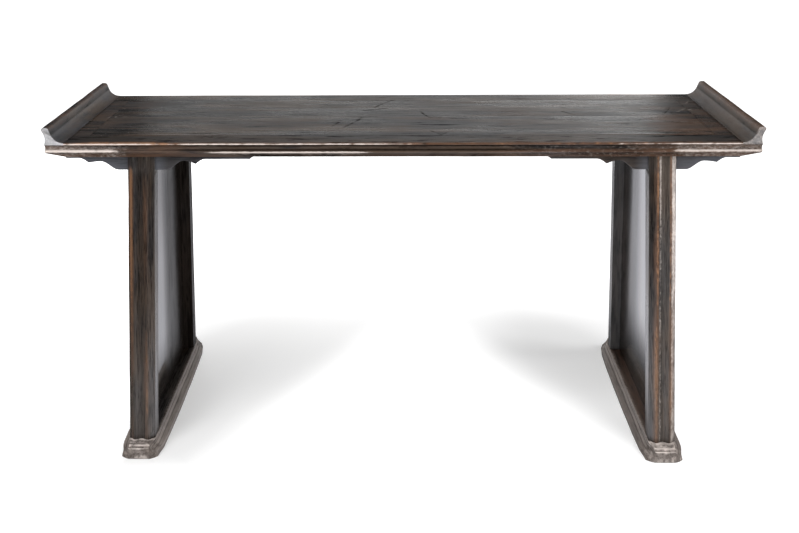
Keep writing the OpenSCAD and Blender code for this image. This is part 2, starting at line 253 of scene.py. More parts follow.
def set_grain(bm, along, seed, local=None):
    """Stores where each vertex lies in the plank: along the grain first, then across it."""
    layer = bm.verts.layers.float_vector.new("grain")
    order = [along] + [a for a in (0, 1, 2) if a != along]
    shift = Vector((seed * 1.37, seed * 0.61, seed * 0.29))
    for v in bm.verts:
        at = v.co if local is None else local(v.co)
        v[layer] = Vector([at[a] for a in order]) + shift


def new_object(name, data):
    """A new object in the scene."""
    made = bpy.data.objects.new(name, data)
    bpy.context.scene.collection.objects.link(made)
    return made


def finish_piece(bm, node, finish):
    """Makes the worked mesh an object that stands for its node and stays inside its box."""
    low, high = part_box(node)
    for v in bm.verts:
        for axis in (0, 1, 2):
            v.co[axis] = max(low[axis], min(high[axis], v.co[axis]))
    bm.normal_update()
    mesh = bpy.data.meshes.new(node + "_finish")
    bm.to_mesh(mesh)
    bm.free()
    mesh.shade_smooth()
    mesh.set_sharp_from_angle(angle=SMOOTH)
    mesh.materials.append(finishes()[finish])
    piece = new_object(node + "_finish", mesh)
    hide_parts(node)
    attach(piece, "root")


class Recipe:
    """A material's nodes, added and joined one after the other."""

    def __init__(self, name):
        self.material = bpy.data.materials.get(name) or bpy.data.materials.new(name)
        self.material.use_nodes = True
        self.tree = self.material.node_tree
        self.tree.nodes.clear()

    def add(self, kind, sockets=None, **options):
        """Adds a node, sets its properties, and fills its sockets with values or other outputs."""
        node = self.tree.nodes.new(kind)
        for key, value in options.items():
            setattr(node, key, value)
        for key, value in (sockets or {}).items():
            if isinstance(value, bpy.types.NodeSocket):
                self.tree.links.new(value, node.inputs[key])
            else:
                node.inputs[key].default_value = value
        return node

    def attribute(self, name, output="Fac"):
        """What the mesh stores under a name."""
        return self.add("ShaderNodeAttribute", attribute_name=name).outputs[output]

    def place(self):
        """Where the point lies along x, y and z."""
        place = self.add("ShaderNodeTexCoord").outputs["Object"]
        return self.add("ShaderNodeSeparateXYZ", {"Vector": place}).outputs

    def stretched(self, vector, along, across, shift=0.0):
        """The grain's coordinates, scaled along and across the plank."""
        sockets = {"Vector": vector, "Scale": (along, across, across), "Location": (shift, shift, shift)}
        return self.add("ShaderNodeMapping", sockets).outputs["Vector"]

    def cloud(self, vector, scale=1.0, detail=4.0, roughness=0.55, distortion=0.0):
        """Noise from 0 to 1."""
        sockets = {
            "Vector": vector, "Scale": scale, "Detail": detail, "Roughness": roughness,
            "Distortion": distortion,
        }
        return self.add("ShaderNodeTexNoise", sockets).outputs["Fac"]

    def reckon(self, operation, *values):
        """One step of arithmetic."""
        return self.add("ShaderNodeMath", dict(enumerate(values)), operation=operation).outputs[0]

    def sum(self, a, b, factor=1.0, offset=0.0):
        """a + factor * b + offset."""
        return self.reckon("ADD", self.reckon("MULTIPLY_ADD", b, factor, a), offset)

    def product(self, a, b):
        """a * b."""
        return self.reckon("MULTIPLY", a, b)

    def step(self, value, low, high, bottom=0.0, top=1.0):
        """Rises smoothly from bottom to top as value goes from low to high."""
        sockets = {"Value": value, "From Min": low, "From Max": high, "To Min": bottom, "To Max": top}
        return self.add("ShaderNodeMapRange", sockets, interpolation_type="SMOOTHSTEP").outputs["Result"]

    def blend(self, share, a, b):
        """Colour a where share is 0, and b where it is 1."""
        return self.add("ShaderNodeMix", {0: share, 6: a, 7: b}, data_type="RGBA").outputs[2]

    def finish(self, shader):
        """Joins the shader to the output, and hands over the material."""
        self.tree.links.new(shader, self.add("ShaderNodeOutputMaterial").inputs["Surface"])
        return self.material


def lacquer(name, colours, figure, relief, gloss, bloom, tint=1.0, shortness=0.08, breaks=0.5, spread=0.14,
            haze=None):
    """Old lacquer over open grain: streaked, dull in patches, and worn down to the wood where marked.

    figure is how many streaks there are to a metre across the grain, relief the strength of the grain,
    gloss the roughness of the sound lacquer, bloom how far it has turned grey, tint how far the wood's
    brown shows through it, shortness how short the streaks are, breaks how far they break the shine, spread
    how much duller the patches are, and haze the colour of the film on it, if any. Of the marks, wear bares
    the wood; scuff pales it, as real scuffs and as painted highlights and glints; grime darkens it, as dirt
    and as painted shade in hollows and creases and on parts in shade; and film lays the haze over it, which
    on the right back leg is a painted reflection.
    """
    r = Recipe(name)
    grain = r.attribute("grain", "Vector")
    wear, scuff, grime = [r.attribute(name) for name in ("wear", "scuff", "grime")]
    streaks = r.cloud(r.stretched(grain, figure * shortness, figure), 1.0, 6.0, 0.68, 0.4)
    fibres = r.cloud(r.stretched(grain, figure * 0.5, figure * 8), 1.0, 3.0, 0.6)
    patches = r.cloud(r.stretched(grain, 3.5, 11.0), 1.0, 4.0, 0.55)
    tints = r.cloud(r.stretched(grain, 2.6, 14.0, 4.0), 1.0, 4.0, 0.6)
    chips = r.cloud(r.stretched(grain, 110.0, 200.0), 1.0, 4.0, 0.7)

    dark = r.blend(r.step(streaks, 0.36, 0.64), colours.lacquer, colours.thin_lacquer)
    warmth = r.product(r.step(r.sum(tints, r.sum(streaks, -0.5), 0.5), 0.42, 0.64), tint)
    warm = r.blend(warmth, dark, colours.warm_tint)
    sound = r.blend(r.product(r.step(patches, 0.4, 0.72), bloom), warm, colours.bloom)
    level = r.sum(wear, r.sum(streaks, 0.0, 1.0, -0.5), 0.7)
    thin = r.step(r.sum(level, r.sum(patches, 0.0, 1.0, -0.5), 0.5), 0.2, 0.62)
    bare = r.step(r.sum(level, r.sum(chips, 0.0, 1.0, -0.5), 0.9), 0.62, 0.88)
    rubbed_and_glint = r.step(r.sum(scuff, r.sum(chips, 0.0, 1.0, -0.5), 0.8), 0.2, 0.8)
    worn = r.blend(thin, sound, colours.worn_wood)
    wood = r.blend(bare, worn, colours.bare_wood)
    if haze is not None:
        wood = r.blend(r.product(r.attribute("film"), r.step(streaks, 0.25, 0.65, 0.6, 1.0)), wood, haze)
    # Painted highlight: the pale colour stands for glints where the scuff mark holds them, and for rubbed
    # wood elsewhere
    pale = r.blend(rubbed_and_glint, wood, colours.rubbed_and_glint)
    # Painted shade: the dark colour stands for shade where the grime mark holds it, and for dirt in the
    # cracks and blots
    colour = r.blend(r.product(grime, r.step(chips, 0.3, 0.6, 1.0, 0.75)), pale, colours.grime)

    dull_streaks = r.step(streaks, 0.35, 0.7, 0.0, 0.7 * spread)
    dullness = r.sum(r.step(patches, 0.35, 0.7, gloss, gloss + spread), dull_streaks)
    roughness = r.sum(r.sum(dullness, rubbed_and_glint, 0.08), grime, 0.25)
    shine = r.sum(r.step(streaks, 0.32, 0.56, 0.5 - 0.5 * breaks, 0.5 + 0.14 * breaks), grime, -0.55)
    height = r.sum(r.sum(streaks, fibres, 0.3), bare, -0.2)
    bump = r.add("ShaderNodeBump", {"Height": height, "Strength": relief, "Distance": GRAIN_DEPTH})
    shine_tint = r.blend(r.step(tints, 0.4, 0.62), COOL_SHINE, WARM_SHINE)
    shader = r.add("ShaderNodeBsdfPrincipled", {
        "Base Color": colour, "Roughness": roughness, "Normal": bump.outputs["Normal"], "IOR": 1.5,
        "Specular IOR Level": shine, "Specular Tint": shine_tint,
    })
    return r.finish(shader.outputs["BSDF"])


def dry_wood(name, colours):
    """Unlacquered softwood, as under the top."""
    r = Recipe(name)
    place = r.add("ShaderNodeTexCoord").outputs["Object"]
    stretched = r.add("ShaderNodeMapping", {"Vector": place, "Scale": (90.0, 5.0, 90.0)})
    rings = r.cloud(stretched.outputs["Vector"], 1.0, 5.0)
    colour = r.blend(r.step(rings, 0.3, 0.7), colours.worn_wood, colours.dry_wood)
    bump = r.add("ShaderNodeBump", {"Height": rings, "Strength": 0.4, "Distance": GRAIN_DEPTH})
    sockets = {"Base Color": colour, "Roughness": 0.8, "Normal": bump.outputs["Normal"]}
    return r.finish(r.add("ShaderNodeBsdfPrincipled", sockets).outputs["BSDF"])


def colour_setting(name, description, red, green, blue):
    """A colour that a user may change."""
    return FloatVectorProperty(
        name=name, description=description, default=(red, green, blue, 1), subtype="COLOR", size=4,
        min=0, max=1,
    )


def length_setting(name, description, default):
    """A length in metres that a user may change."""
    return FloatProperty(
        name=name, description=description, default=default, unit="LENGTH", min=0, precision=4,
    )


def power_setting(name, description, watts):
    """A lamp's power that a user may change."""
    return FloatProperty(name=name, description=description, default=watts, unit="POWER", min=0)


def angle_setting(name, description, degrees):
    """An angle that a user may change."""
    return FloatProperty(name=name, description=description, default=math.radians(degrees), subtype="ANGLE")


class TableColours(bpy.types.PropertyGroup):
    """Colours of the lacquer and of what shows where it has gone"""

    lacquer: colour_setting("Lacquer", "Sound black lacquer", 0.007, 0.0065, 0.0065)
    thin_lacquer: colour_setting("Thin lacquer", "Lacquer over the ridges of the grain", 0.028, 0.022, 0.019)
    warm_tint: colour_setting("Warm tint", "Patches where the wood shows through", 0.056, 0.037, 0.025)
    bloom: colour_setting("Bloom", "Patches that have turned grey", 0.062, 0.064, 0.072)
    haze: colour_setting("Haze", "Bluish film on the aprons", 0.088, 0.091, 0.104)
    dust: colour_setting("Dust", "Dry grey dust towards the floor", 0.105, 0.094, 0.086)
    scoured: colour_setting("Scoured", "Grey-brown of the scoured shoe feet", 0.25, 0.214, 0.194)
    # Also laid over the right back leg as a painted reflection
    ash_and_sheen: colour_setting("Ash", "Bluish grey of weathered end grain", 0.47, 0.47, 0.485)
    worn_wood: colour_setting("Worn wood", "Brown wood under lacquer worn thin", 0.088, 0.047, 0.029)
    bare_wood: colour_setting("Bare wood", "Wood where the lacquer has gone", 0.215, 0.108, 0.055)
    # Also the colour of the painted highlights and glints on the beads, legs and shoe feet
    rubbed_and_glint: colour_setting("Rubbed wood", "Pale wood along arrises and on end grain", 0.57, 0.505, 0.465)
    # Also the colour of painted shade in hollows, creases and grooves and on parts in shade
    grime: colour_setting("Grime", "Dirt in cracks and corners", 0.01, 0.007, 0.005)
    dry_wood: colour_setting("Dry wood", "Unlacquered wood under the top", 0.26, 0.165, 0.105)


class TableSizes(bpy.types.PropertyGroup):
    """Small sizes that age and hand work give the table"""

    arris: length_setting("Arris", "Rounding of the sharp arrises", 0.0009)
    waver: length_setting("Waver", "Unevenness of the planed surfaces", 0.0005)
    pitch: length_setting("Pitch", "Length of the small faces that the surfaces are cut into", 0.012)
    crack: length_setting("Crack", "Depth of the cracks in the top", 0.0008)
    groove: length_setting("Groove", "Depth of the grooves along the shoe feet", 0.0012)


class StudioSettings(bpy.types.PropertyGroup):
    """Camera and lamps"""

    left_power: power_setting("Left softbox", "Lamp in front on the left", 50)
    right_power: power_setting("Right softbox", "Lamp in front on the right", 55)
    side_power: power_setting("Side softbox", "Lamp beside the right end", 40)
    top_power: power_setting("Top softbox", "Lamp over the front edge", 22)
    back_power: power_setting("Back softbox", "Weak lamp behind, for the views from there", 40)
    lens: FloatProperty(
        name="Lens", description="Focal length on a 36 mm frame", default=51.687, min=1, unit="CAMERA",
    )
    shift_x: FloatProperty(name="Shift across", description="The frame's shift to the right", default=0.0415)
    shift_y: FloatProperty(name="Shift up", description="The frame's shift upwards", default=-0.0889)
    camera_place: FloatVectorProperty(
        name="Camera", description="Where the camera stands", subtype="TRANSLATION", unit="LENGTH",
        default=(0.010518, -3.08679, 1.532385),
    )
    pitch: angle_setting("Pitch", "How far the camera looks down", 16.422)
    yaw: angle_setting("Yaw", "How far the camera turns to the right", -1.963)
    roll: angle_setting("Roll", "How far the camera tips to its left", -0.562)


def settings():
    """The sizes, colours and studio as the user has set them."""
    scene = bpy.context.scene
    return scene.table_sizes, scene.table_colours, scene.table_studio


def finishes():
    """The table's materials, made once."""
    colours = settings()[1]
    if "aged_top" not in bpy.data.materials:
        lacquer("aged_top", colours, figure=58.0, relief=1.0, gloss=0.2, bloom=0.35, shortness=0.13,
                breaks=1.0)
        lacquer("aged_flange", colours, figure=80.0, relief=1.0, gloss=0.28, bloom=0.9, shortness=0.2,
                breaks=0.4, haze=colours.ash_and_sheen)
        lacquer("aged_leg", colours, figure=280.0, relief=0.35, gloss=0.2, bloom=0.05, tint=0.7,
                shortness=0.06, breaks=0.8, haze=colours.dust)
        lacquer("aged_back_leg", colours, figure=120.0, relief=0.1, gloss=0.12, bloom=0.0, tint=0.1,
                haze=colours.ash_and_sheen)
        lacquer("aged_side", colours, figure=160.0, relief=0.0, gloss=0.05, bloom=0.0, tint=0.02,
                shortness=0.03, breaks=0.25, spread=0.02)
        lacquer("aged_apron", colours, figure=110.0, relief=0.3, gloss=0.3, bloom=0.6, tint=0.3,
                haze=colours.haze)
        lacquer("aged_shoe", colours, figure=200.0, relief=0.5, gloss=0.36, bloom=0.6, shortness=0.06,
                breaks=0.8, haze=colours.scoured)
        dry_wood("dry_brace", colours)
    return bpy.data.materials


class TABLE_OT_rails(bpy.types.Operator):
    """Moulded long rails, worn along the beads, with painted glints on the beads and painted shade in the
    cove
    """

    bl_idname = "table.rails"
    bl_label = "Long rails"

    def execute(self, context):
        sizes = settings()[0]

        def placed(p):
            """The point's depth below the top, its distance in from the edge, and its place along it."""
            return TOP_Z - p.z, EDGE_Y - abs(p.y), p.x if p.y < 0 else -p.x

        def edge_wear(p):
            down, inwards, x = placed(p)
            orange = 0.4 + 0.4 * between(x, -0.8, -0.6, 0.05) + 0.08 * between(x, 0.0, 0.7, 0.2)
            orange *= 0.95 + 0.7 * mottle(x * 60, 2.0, 6.0)
            reach = 0.003 + 0.008 * max(between(x, -0.78, -0.62, 0.04), between(x, 0.3, 0.72, 0.1))
            strip = orange * between(inwards, 0.0, reach, 0.008) * between(down, -FAR, 0.0045, 0.002)
            lower = (0.15 + 0.25 * between(x, 0.35, 0.9, 0.2)) * between(down, 0.018, 0.0245, 0.003)
            sides = max(between(x, -FAR, -0.65, 0.1), between(x, 0.28, FAR, 0.1))
            fillet = (0.24 + 0.22 * sides) * between(down, FILLET, FAR, 0.001) if inwards < 0.02 else 0.0
            over_legs = max(between(x, -0.9, -0.55, 0.1), between(x, 0.55, 0.9, 0.1))
            face = 0.22 * between(down, 0.003, FAR, 0.003) * over_legs
            return 0.1 + max(strip, lower, fillet, face)

        def edge_scuff(p):
            down, inwards, x = placed(p)
            if inwards > 0.006 and down < 0.004:
                return 0.0
            ends = max(between(x, -0.87, -0.66, 0.06), between(x, 0.7, 0.87, 0.05))
            middle = max(between(x, -0.52, -0.36, 0.05), 0.8 * between(x, -0.3, 0.02, 0.1))
            upper = 0.45 + 0.5 * max(ends, middle) * (1.0 if x < 0.5 else 0.8)
            upper *= between(x, -FAR, -0.12, 0.3) if x < 0.55 else 1.0
            upper *= 0.95 + 0.7 * mottle(x * 70, 4.0, 1.0)
            lower = max(1.1 * between(x, -0.9, -0.74, 0.05), 0.85 * between(x, 0.7, 0.9, 0.04),
                        1.2 * between(x, -0.44, -0.12, 0.08), 0.1)
            lower *= 0.9 + 0.4 * mottle(x * 45, 7.0, 2.0)
            height = 0.0205 + 0.004 * between(x, -0.62, 0.6, 0.06)
            spread = 0.0035 - 0.001 * between(x, -0.66, -0.1, 0.06) - 0.0018 * between(x, -0.04, 0.62, 0.04)
            # Painted highlights: glint lines along the upper bead and the lower bead, strongest where the
            # softboxes would show in them
            glint = upper * peak(down, UPPER_BEAD, 0.0018)
            ridge = lower * peak(down, height, spread)
            # The dust value pales the faces below the upper bead: at both ends this is a painted reflection
            # of the softboxes; between x 0.28 and 0.72 it pales them less
            lit_ends = max(between(x, -FAR, -0.72, 0.08), between(x, 0.7, FAR, 0.05))
            dust = max(0.33 * lit_ends, 0.22 * between(x, 0.28, 0.72, 0.08))
            greyed = dust * between(down, 0.004, FAR, 0.002)
            end = 0.28 if abs(p.x) > END_X - END_SKIN else 0.0
            return max(glint, ridge, greyed, end)

        def edge_grime(p):
            down, inwards, x = placed(p)
            # On the front rail's top: darker from 1 cm in from the edge
            if inwards > 0.006:
                return 0.32 * between(inwards, 0.01, FAR, 0.004) if p.y < 0 else 0.0
            # Painted shade: darker in the cove, most in the middle, on the fillet under the lower bead, and
            # in a line just under the upper bead
            middle = between(x, -0.5, 0.26, 0.15)
            hollow = (0.15 + 0.85 * middle) * between(down, COVE_TOP, COVE_FOOT, 0.002)
            fillet = 0.6 * between(x, -0.3, 0.3, 0.15) * between(down, FILLET, FAR, 0.001)
            under_bead = 0.8 * between(down, 0.0065, 0.0085, 0.001) * between(x, -0.75, 0.72, 0.05)
            return max(hollow, fillet, under_bead)

        for seed, name in enumerate(("front_rail", "back_rail")):
            low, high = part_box(name)
            edge = (low.y, -PANEL_Y) if name == "front_rail" else (PANEL_Y, high.y)
            bm = merged_copy(name)
            soften(bm, sizes.arris, lambda e: sharp(e) and all(abs(v.co.x) > END_X - SKIN for v in e.verts))
            cut_lengths(bm, 0, sizes.pitch)
            cut_lengths(bm, 1, sizes.pitch, *edge)
            waver(bm, sizes.waver * 0.7, (0.2, 0.09, 0.09), seed + 1)
            set_grain(bm, 0, seed + 1)
            mark(bm, wear=edge_wear, scuff=edge_scuff, grime=edge_grime)
            finish_piece(bm, name, "aged_top")
        return {"FINISHED"}


class TABLE_OT_panel(bpy.types.Operator):
    """Boards and end rails of the top, with their planed and cracked surface"""

    bl_idname = "table.panel"
    bl_label = "Boards and end rails"

    def execute(self, context):
        sizes = settings()[0]

        def cracked(p, lines):
            """Up to 1 in a crack of the top's face, and 0 away from all."""
            return max(crack_share(p, line) for line in lines) if p.z > TOP_Z - TOP_SKIN else 0.0

        def near_crack(p):
            lines = CRACKS + PALE_CRACKS
            return p.z > TOP_Z - TOP_SKIN and any(from_line(p, line) < CRACK_REACH for line in lines)

        def worn(p):
            patches = max(0.0, 0.9 + 1.2 * mottle(p.x * 5.0, p.y * 28.0, 2.0))
            right = between(p.x, 0.72, 0.9, 0.12) * (0.18 + 0.16 * between(p.y, -0.4, -0.05, 0.12))
            left = 0.14 * between(p.x, -0.9, -0.74, 0.12)
            return 0.14 + patches * (right + left)

        for seed, name in enumerate(("front_board", "back_board", "left_end_rail", "right_end_rail")):
            bm = merged_copy(name)
            cut_lengths(bm, 0, sizes.pitch)
            cut_lengths(bm, 1, sizes.pitch * 0.5)
            refine(bm, 3, near_crack)
            waver(bm, sizes.waver, (0.25, 0.05, 0.1), seed + 5)
            waver(bm, sizes.waver * 0.5, (0.12, 0.018, 0.1), seed + 6)
            for v in bm.verts:
                v.co.z -= sizes.crack * cracked(v.co, CRACKS)
            set_grain(bm, 0, seed + 5)
            mark(
                bm, wear=worn, scuff=lambda p: 0.6 * cracked(p, PALE_CRACKS),
                grime=lambda p: 0.95 * cracked(p, CRACKS),
            )
            finish_piece(bm, name, "aged_top")
        return {"FINISHED"}


class TABLE_OT_flanges(bpy.types.Operator):
    """Upturned end flanges with their worn ridges and scuffed end grain"""

    bl_idname = "table.flanges"
    bl_label = "End flanges"

    def execute(self, context):
        sizes = settings()[0]

        def ridge(p):
            return between(abs(p.x), CREASE_X + SKIN, FAR, 0.003) * between(p.z, RIDGE_Z - 0.012, FAR, 0.003)

        def worn(p):
            ticks = 0.5 + 0.5 * mottle(p.x * 30, p.y * 70, 3.0)
            return 0.12 + ridge(p) * (0.26 + 0.34 * ticks if p.x > 0 else 0.1 + 0.3 * ticks)

        def scuffed(p):
            on_end, on_ridge = (0.3, 0.22) if p.x > 0 else (0.26, 0.06)
            return max(on_end if abs(p.y) > EDGE_Y - END_SKIN else 0.0, on_ridge * ridge(p))

        def hazed(p):
            if abs(p.y) < EDGE_Y - END_SKIN:
                return 0.0
            blotches = 0.8 + 0.5 * mottle(p.x * 90, 1.0, p.z * 120)
            return blotches * (0.35 if p.x > 0 else 1.0)

        def darkened(p):
            # Painted shade in a line along the crease; the dark ticks across the outer ridge are marks in the
            # wood
            line = peak(abs(p.x), CREASE_X - 0.002, 0.002) if RIDGE_Z - 0.018 < p.z < RIDGE_Z - SKIN else 0.0
            ticks = between(mottle(p.x * 20, p.y * 75, 8.0), 0.12, FAR, 0.12)
            outer = between(abs(p.x), CREASE_X + 0.01, FAR, 0.003) if p.z > RIDGE_Z - 0.012 else 0.0
            return max(0.8 * line, ticks * outer * (0.8 if p.x < 0 else 0.4))

        for seed, name in enumerate(("left_flange", "right_flange")):
            bm = merged_copy(name)
            soften(bm, sizes.arris, lambda e: sharp(e) and all(abs(v.co.y) > EDGE_Y - SKIN for v in e.verts))
            cut_lengths(bm, 1, sizes.pitch * 0.5)
            waver(bm, sizes.waver, (0.05, 0.1, 0.05), seed + 9)
            set_grain(bm, 1, seed + 9)
            mark(bm, wear=worn, scuff=scuffed, grime=darkened, film=hazed)
            finish_piece(bm, name, "aged_flange")
        return {"FINISHED"}


class TABLE_OT_aprons(bpy.types.Operator):
    """Cusped long aprons and plain end aprons"""

    bl_idname = "table.aprons"
    bl_label = "Aprons"

    def execute(self, context):
        sizes = settings()[0]
        leg_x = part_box("front_right_leg")[0].x

        def hazed(p):
            inside = 0.0 if p.x > 0 else 0.18
            return inside + (1.0 - inside) * between(abs(p.x), leg_x, FAR, 0.04)

        def darkened(p):
            # Painted shade under the rail: the apron darkens just below it
            return 0.5 * between(RAIL_Z - p.z, 0.0, 0.004, 0.004)

        for seed, name in enumerate(("front_apron", "back_apron", "left_end_apron", "right_end_apron")):
            low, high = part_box(name)
            thin = 1 if high.x - low.x > high.y - low.y else 0

            def outlining(e):
                """True for a sharp edge along the outline of a face."""
                return sharp(e) and abs(e.verts[0].co[thin] - e.verts[1].co[thin]) < ON_PLANE

            bm = merged_copy(name)
            soften(bm, sizes.arris * 1.3, outlining)
            cut_lengths(bm, 1 - thin, sizes.pitch)
            waver(bm, sizes.waver * 0.6, (0.1, 0.1, 0.1), seed + 13)
            set_grain(bm, 1 - thin, seed + 13)
            mark(bm, wear=lambda p: 0.08, grime=darkened, film=hazed)
            finish_piece(bm, name, "aged_apron")
        return {"FINISHED"}


def leg_matrix():
    """Turns the right front leg's own upright axes into its leaning place."""
    points = [v.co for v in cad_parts["front_right_leg"].data.vertices]
    head = [p for p in points if abs(p.z - RAIL_Z) < ON_PLANE]
    foot = [p for p in points if abs(p.z - SHOE_H) < ON_PLANE]
    head_x = (min(p.x for p in head) + max(p.x for p in head)) / 2
    foot_x = (min(p.x for p in foot) + max(p.x for p in foot)) / 2
    head_y = -min(p.y for p in head)
    foot_y = -min(p.y for p in foot)
    height = RAIL_Z - SHOE_H
    side_angle = math.atan((foot_x - head_x) / height)
    front_angle = math.atan((foot_y - head_y) * math.cos(side_angle) / height)
    return (
        Matrix.Translation((head_x, 0, RAIL_Z)) @ Matrix.Rotation(-side_angle, 4, "Y")
        @ Matrix.Translation((0, -head_y, 0)) @ Matrix.Rotation(-front_angle, 4, "X")
    )


class TABLE_OT_legs(bpy.types.Operator):
    """Splayed legs with two rolls, worn along their crests, with painted highlights on the right front leg
    and painted shade in the hollows and on the back legs
    """

    bl_idname = "table.legs"
    bl_label = "Legs"

    def execute(self, context):
        sizes = settings()[0]
        standing = leg_matrix()
        upright = standing.inverted()
        for seed, name in enumerate(("front_left_leg", "front_right_leg", "back_left_leg", "back_right_leg")):
            side = -1 if "left" in name else 1
            face = 1 if "front" in name else -1
            lit = name == "front_right_leg"

            def local(p):
                """The point in the leg's own axes: outwards, into the leg, and up."""
                return upright @ Vector((p.x * side, p.y * face, p.z))

            def worn(p):
                q = local(p)
                if q.y > FACE_DEPTH:
                    return 0.12
                down = -q.z
                drift = mottle(q.x * 25, seed * 3.7, q.z * 6.0)
                outer = peak(q.x, 0.022, 0.008) * (0.34 + 0.35 * drift)
                inner = peak(q.x, -0.017 if lit else -0.014, 0.009) * (0.34 + 0.35 * drift)
                if not lit:
                    high = between(down, -FAR, 0.36, 0.2)
                    outer = peak(q.x, 0.025, 0.007) * (0.4 + 0.44 * high + 0.35 * drift)
                below_apron = between(down, 0.045, FAR, 0.02)
                rolls = below_apron * max(outer, inner)
                if lit:
                    rolls *= 0.9 + 0.7 * between(down, 0.3, FAR, 0.15)
                    dots = 0.75 + 0.5 * mottle(q.x * 60, seed * 1.9, q.z * 70)
                    lines = max(peak(q.x, -0.0142, 0.004), peak(q.x, 0.0176, 0.0032)) * dots
                    rolls = max(rolls, 0.95 * lines * (0.45 + 0.55 * between(down, -FAR, 0.34, 0.25)))
                else:
                    worn_streak = peak(q.x, -0.0155, 0.0035) * between(down, 0.5, 0.69, 0.05)
                    patchy = 0.8 + 0.6 * mottle(0.5, 0.5, q.z * 60)
                    rolls = max(rolls, 0.75 * worn_streak * patchy)
                return 0.08 + rolls

            def scuffed(p):
                q = local(p)
                down = -q.z
                if q.y > FACE_DEPTH:
                    return 0.0
                glints = 0.0
                # Painted highlights: two soft pale lines on the right front leg's rolls, where the right
                # softbox would show, stronger near the top
                if lit:
                    streaks = 1.0 + 0.3 * mottle(q.x * 90, seed * 2.3, q.z * 25)
                    left_line = peak(q.x, -0.0072, 0.0042) * (0.4 + 0.1 * between(down, -FAR, 0.1, 0.15))
                    upper = between(down, -FAR, 0.2, 0.3)
                    right_line = between(q.x, 0.023, 0.0315, 0.006) * (0.42 + 0.13 * upper)
                    glints = streaks * max(left_line, right_line)
                return max(glints, 0.2 * peak(abs(q.x), 0.033, 0.002))

            def darkened(p):
                q = local(p)
                # Painted shade in the rolls' hollows, on the right front leg's dark flank and over the back
                # legs, most the left one; also darker at the foot, on the side faces lower down, and over the
                # upper part of the left front leg
                foot = 0.7 * peak(p.z, SHOE_H, 0.004)
                if "back" in name:
                    return max(foot, 0.6 if "left" in name else 0.25)
                upper = between(-q.z, -FAR, 0.45, 0.2)
                if q.y > FACE_DEPTH:
                    return max(foot, 0.35 - 0.3 * upper)
                if lit:
                    return max(foot, (0.05 + 0.2 * upper) * peak(q.x, 0.0095, 0.004))
                return max(foot, (0.25 + 0.35 * upper) * peak(q.x, 0.004, 0.009), 0.22 * upper)

            def hazed(p):
                # Painted reflection: the right back leg is hazed paler
                if "back" in name:
                    return 0.2 if p.x > 0 else 0.0
                q = local(p)
                foot = (0.5 if q.y < ARRIS_DEPTH else 0.15) * between(p.z, -FAR, SHOE_H + 0.02, 0.55)
                head = 0.25 * between(-q.z, -FAR, 0.04, 0.02)
                arris = 0.6 * peak(q.x, -0.0345, 0.0022) if q.y < ARRIS_DEPTH else 0.0
                greyed = 0.42 * between(q.x, -0.003, 0.017, 0.004) if lit and q.y < FACE_DEPTH else 0.0
                return max(foot, head, arris, greyed)

            bm = merged_copy(name)
            if face > 0:
                across = standing.to_3x3() @ Vector((1, 0, 0))
                for x in COLUMNS:
                    place = standing @ Vector((x, 0, 0))
                    cut_along(bm, (place.x * side, place.y, place.z), (across.x * side, across.y, across.z))
            cut_lengths(bm, 2, sizes.pitch)
            waver(bm, sizes.waver, (0.04, 0.04, 0.12), seed + 21)
            set_grain(bm, 2, seed + 21, local)
            mark(bm, wear=worn, scuff=scuffed, grime=darkened, film=hazed)
            finish_piece(bm, name, "aged_leg" if "front" in name else "aged_back_leg")
        return {"FINISHED"}


class TABLE_OT_sides(bpy.types.Operator):
    """Side panels and the rails above them"""

    bl_idname = "table.sides"
    bl_label = "Side panels"

    def execute(self, context):
        sizes = settings()[0]
        names = ("left_side_panel", "right_side_panel", "left_side_rail", "right_side_rail")
        for seed, name in enumerate(names):
            along = 2 if "panel" in name else 1
            bm = merged_copy(name)
            cut_lengths(bm, 2, sizes.pitch * 1.5)
            cut_lengths(bm, 1, sizes.pitch * 0.8)
            waver(bm, sizes.waver * 0.12, (0.1, 0.08, 0.4), seed + 31)
            set_grain(bm, along, seed + 31)
            # Painted shade: the panels and their rails darken towards the back, the left ones more
            mark(bm, grime=lambda p: (0.7 if p.x < 0 else 0.4) * between(p.y, 0.05, FAR, 0.12))
            finish_piece(bm, name, "aged_side")
        return {"FINISHED"}


